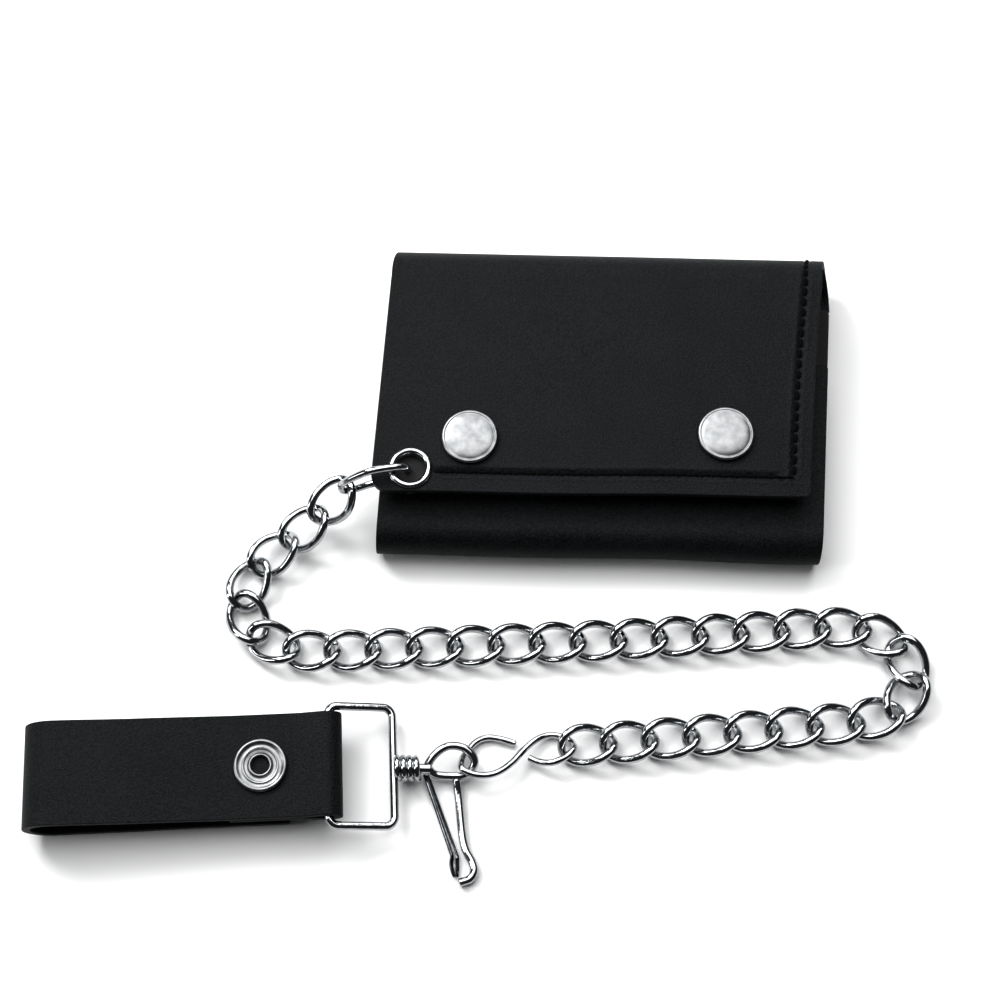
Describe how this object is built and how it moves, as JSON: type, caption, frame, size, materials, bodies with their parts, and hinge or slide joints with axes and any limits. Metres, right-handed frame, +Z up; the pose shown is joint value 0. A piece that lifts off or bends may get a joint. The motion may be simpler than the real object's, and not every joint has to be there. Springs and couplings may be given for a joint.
{
  "type": "chain wallet",
  "caption": "Folded leather wallet with a snap flap and an eyelet, joined by a curb chain, a hook and a swivel clip to a strap that snaps round a belt.",
  "frame": {"origin": "a point near the middle of the wallet's back face, which lies on the table", "axes": "+X along the wallet's folds, +Y from its bottom fold to its top fold, +Z up out of its front"},
  "size_m": [0.2232, 0.1638, 0.0235],
  "materials": {
    "leather": "fine-grained, satin black",
    "lining": "thin split leather, matt black",
    "nickel": "nickel-plated, slightly cloudy",
    "steel": "nickel-plated steel wire, polished"
  },
  "bodies": {
    "wallet": {"back_panel": "leather", "bill_divider": "lining", "card_pocket_1": "lining", "card_pocket_2": "lining", "top_spine": "leather", "bottom_spine": "leather"},
    "lower_panel": {"lower_panel": "leather", "lower_panel_lining": "lining", "snap_stud_left": "nickel", "snap_stud_right": "nickel"},
    "flap": {"flap": "leather", "flap_lining": "lining", "eyelet": "nickel", "eyelet_washer": "nickel", "snap_cap_left": "nickel", "snap_cap_right": "nickel", "snap_socket_left": "nickel", "snap_socket_right": "nickel"},
    "link_01": {"link_01": "steel"},
    "link_02": {"link_02": "steel"},
    "link_03": {"link_03": "steel"},
    "link_04": {"link_04": "steel"},
    "link_05": {"link_05": "steel"},
    "link_06": {"link_06": "steel"},
    "link_07": {"link_07": "steel"},
    "link_08": {"link_08": "steel"},
    "link_09": {"link_09": "steel"},
    "link_10": {"link_10": "steel"},
    "link_11": {"link_11": "steel"},
    "link_12": {"link_12": "steel"},
    "link_13": {"link_13": "steel"},
    "link_14": {"link_14": "steel"},
    "link_15": {"link_15": "steel"},
    "link_16": {"link_16": "steel"},
    "link_17": {"link_17": "steel"},
    "link_18": {"link_18": "steel"},
    "link_19": {"link_19": "steel"},
    "link_20": {"link_20": "steel"},
    "link_21": {"link_21": "steel"},
    "link_22": {"link_22": "steel"},
    "link_23": {"link_23": "steel"},
    "link_24": {"link_24": "steel"},
    "link_25": {"link_25": "steel"},
    "link_26": {"link_26": "steel"},
    "link_27": {"link_27": "steel"},
    "link_28": {"link_28": "steel"},
    "link_29": {"link_29": "steel"},
    "link_30": {"link_30": "steel"},
    "link_31": {"link_31": "steel"},
    "link_32": {"link_32": "steel"},
    "s_hook": {"s_hook": "steel"},
    "clip": {"clip_wire": "steel"},
    "clip_lever": {"clip_lever": "steel"},
    "swivel_ring": {"swivel_ring": "steel"},
    "strap": {"strap_top": "leather", "strap_loop": "leather", "strap_stud": "nickel"},
    "strap_tail": {"strap_tail": "leather", "strap_cap": "nickel", "strap_socket": "nickel"}
  },
  "joints": [
    {"name": "flap_hinge", "type": "hinge", "parent": "wallet", "child": "flap", "pos_m": [0, 0.0346, 0.00975], "axis": [-1, 0, 0], "range_deg": [0, 180], "deforming": ["top_spine"]},
    {"name": "lower_panel_hinge", "type": "hinge", "parent": "wallet", "child": "lower_panel", "pos_m": [0, -0.0312, 0.0062], "axis": [1, 0, 0], "range_deg": [0, 108], "deforming": ["bottom_spine"]},
    {"name": "eyelet_swing", "type": "hinge", "parent": "flap", "child": "link_01", "pos_m": [-0.04978, -0.01925, 0.0182], "axis": [0, 0, 1], "range_deg": [-30, 9]},
    {"name": "chain_joint_01", "type": "hinge", "parent": "link_01", "child": "link_02", "pos_m": [-0.0655, -0.0223, 0.0133], "axis": [0, 0, -1], "range_deg": [-3, 36]},
    {"name": "chain_joint_02", "type": "hinge", "parent": "link_02", "child": "link_03", "pos_m": [-0.0721, -0.02834, 0.00832], "axis": [-0.5987, 0.8009, 0], "range_deg": [-39, 39]},
    {"name": "chain_joint_03", "type": "hinge", "parent": "link_03", "child": "link_04", "pos_m": [-0.07978, -0.03407, 0.00474], "axis": [0, 0, 1], "range_deg": [-36, 3]},
    {"name": "chain_joint_04", "type": "hinge", "parent": "link_04", "child": "link_05", "pos_m": [-0.08761, -0.04041, 0.0032], "axis": [0.9264, -0.3764, 0], "range_deg": [-33, 33]},
    {"name": "chain_joint_05", "type": "hinge", "parent": "link_05", "child": "link_06", "pos_m": [-0.0914, -0.04973, 0.0032], "axis": [0, 0, -1], "range_deg": [-3, 36]},
    {"name": "chain_joint_06", "type": "hinge", "parent": "link_06", "child": "link_07", "pos_m": [-0.08724, -0.05882, 0.0032], "axis": [-0.3576, -0.9339, 0], "range_deg": [-12, 24]},
    {"name": "chain_joint_07", "type": "hinge", "parent": "link_07", "child": "link_08", "pos_m": [-0.07777, -0.06245, 0.0032], "axis": [0, 0, 1], "range_deg": [-36, 3]},
    {"name": "chain_joint_08", "type": "hinge", "parent": "link_08", "child": "link_09", "pos_m": [-0.06754, -0.06225, 0.0032], "axis": [-0.052, 0.9986, 0], "range_deg": [-39, 39]},
    {"name": "chain_joint_09", "type": "hinge", "parent": "link_09", "child": "link_10", "pos_m": [-0.05731, -0.06171, 0.0032], "axis": [0, 0, -1], "range_deg": [-3, 30]},
    {"name": "chain_joint_10", "type": "hinge", "parent": "link_10", "child": "link_11", "pos_m": [-0.04709, -0.06104, 0.0032], "axis": [0.0669, -0.9978, 0], "range_deg": [-39, 39]},
    {"name": "chain_joint_11", "type": "hinge", "parent": "link_11", "child": "link_12", "pos_m": [-0.03687, -0.06036, 0.0032], "axis": [0, 0, 1], "range_deg": [-15, 6]},
    {"name": "chain_joint_12", "type": "hinge", "parent": "link_12", "child": "link_13", "pos_m": [-0.02665, -0.05971, 0.0032], "axis": [-0.0636, 0.998, 0], "range_deg": [-39, 39]},
    {"name": "chain_joint_13", "type": "hinge", "parent": "link_13", "child": "link_14", "pos_m": [-0.01642, -0.05906, 0.0032], "axis": [0, 0, -1], "range_deg": [-6, 9]},
    {"name": "chain_joint_14", "type": "hinge", "parent": "link_14", "child": "link_15", "pos_m": [-0.0062, -0.05839, 0.0032], "axis": [0.07, -0.9975, 0], "range_deg": [-39, 39]},
    {"name": "chain_joint_15", "type": "hinge", "parent": "link_15", "child": "link_16", "pos_m": [0.00402, -0.05767, 0.0032], "axis": [0, 0, 1], "range_deg": [-6, 9]},
    {"name": "chain_joint_16", "type": "hinge", "parent": "link_16", "child": "link_17", "pos_m": [0.01423, -0.05688, 0.0032], "axis": [-0.0837, 0.9965, 0], "range_deg": [-39, 39]},
    {"name": "chain_joint_17", "type": "hinge", "parent": "link_17", "child": "link_18", "pos_m": [0.02444, -0.05602, 0.0032], "axis": [0, 0, -1], "range_deg": [-15, 6]},
    {"name": "chain_joint_18", "type": "hinge", "parent": "link_18", "child": "link_19", "pos_m": [0.03464, -0.05515, 0.0032], "axis": [0.0833, -0.9965, 0], "range_deg": [-39, 39]},
    {"name": "chain_joint_19", "type": "hinge", "parent": "link_19", "child": "link_20", "pos_m": [0.04485, -0.05429, 0.0032], "axis": [0, 0, 1], "range_deg": [-3, 36]},
    {"name": "chain_joint_20", "type": "hinge", "parent": "link_20", "child": "link_21", "pos_m": [0.05504, -0.05321, 0.0032], "axis": [-0.0004, 1, 0], "range_deg": [-39, 39]},
    {"name": "chain_joint_21", "type": "hinge", "parent": "link_21", "child": "link_22", "pos_m": [0.06526, -0.05321, 0.0032], "axis": [0, 0, -1], "range_deg": [-36, 3]},
    {"name": "chain_joint_22", "type": "hinge", "parent": "link_22", "child": "link_23", "pos_m": [0.07434, -0.05729, 0.0032], "axis": [-0.9288, -0.3705, 0], "range_deg": [-30, 12]},
    {"name": "chain_joint_23", "type": "hinge", "parent": "link_23", "child": "link_24", "pos_m": [0.07798, -0.06642, 0.0032], "axis": [0, 0, 1], "range_deg": [-3, 36]},
    {"name": "chain_joint_24", "type": "hinge", "parent": "link_24", "child": "link_25", "pos_m": [0.07254, -0.07473, 0.0032], "axis": [0.2669, -0.9637, 0], "range_deg": [-18, 27]},
    {"name": "chain_joint_25", "type": "hinge", "parent": "link_25", "child": "link_26", "pos_m": [0.06269, -0.07745, 0.0032], "axis": [0, 0, -1], "range_deg": [-36, 3]},
    {"name": "chain_joint_26", "type": "hinge", "parent": "link_26", "child": "link_27", "pos_m": [0.0525, -0.07848, 0.0032], "axis": [-0.1134, 0.9936, 0], "range_deg": [-39, 39]},
    {"name": "chain_joint_27", "type": "hinge", "parent": "link_27", "child": "link_28", "pos_m": [0.04233, -0.07964, 0.0032], "axis": [0, 0, 1], "range_deg": [-3, 36]},
    {"name": "chain_joint_28", "type": "hinge", "parent": "link_28", "child": "link_29", "pos_m": [0.03215, -0.08078, 0.0032], "axis": [0.1102, -0.9939, 0], "range_deg": [-39, 39]},
    {"name": "chain_joint_29", "type": "hinge", "parent": "link_29", "child": "link_30", "pos_m": [0.02196, -0.08191, 0.0032], "axis": [0, 0, -1], "range_deg": [-36, 6]},
    {"name": "chain_joint_30", "type": "hinge", "parent": "link_30", "child": "link_31", "pos_m": [0.01178, -0.08301, 0.0032], "axis": [-0.1025, 0.9947, 0], "range_deg": [-39, 39]},
    {"name": "chain_joint_31", "type": "hinge", "parent": "link_31", "child": "link_32", "pos_m": [0.00159, -0.08406, 0.0032], "axis": [0, 0, 1], "range_deg": [-6, 36]},
    {"name": "hook_in_chain", "type": "hinge", "parent": "link_32", "child": "s_hook", "pos_m": [-0.0089, -0.0851, 0.0032], "axis": [0, 0, -1], "range_deg": [-30, 9]},
    {"name": "hook_in_clip", "type": "hinge", "parent": "s_hook", "child": "clip", "pos_m": [-0.0336, -0.0922, 0.0036], "axis": [0, 0, 1], "range_deg": [-9, 9]},
    {"name": "lever_spring", "type": "hinge", "parent": "clip", "child": "clip_lever", "pos_m": [-0.0421, -0.0953, 0.00125], "axis": [0, 0, 1], "range_deg": [0, 3.5], "stiffness_Nm_per_rad": 0.01},
    {"name": "swivel", "type": "hinge", "parent": "clip", "child": "swivel_ring", "pos_m": [-0.0475, -0.0917, 0.0042], "axis": [1, 0, 0], "continuous": true},
    {"name": "ring_in_strap", "type": "hinge", "parent": "swivel_ring", "child": "strap", "pos_m": [-0.0666, -0.0924, 0.00925], "axis": [-0.0663, 0.9978, 0], "range_deg": [-75, 120]},
    {"name": "strap_opening", "type": "hinge", "parent": "strap", "child": "strap_tail", "pos_m": [-0.13345, -0.09684, 0.007], "axis": [-0.0663, 0.9978, 0], "range_deg": [0, 105], "deforming": ["strap_loop"]}
  ],
  "couplings": [
    {"joint": "lower_panel_hinge", "follows": "flap_hinge", "ratio": 0.6}
  ]
}
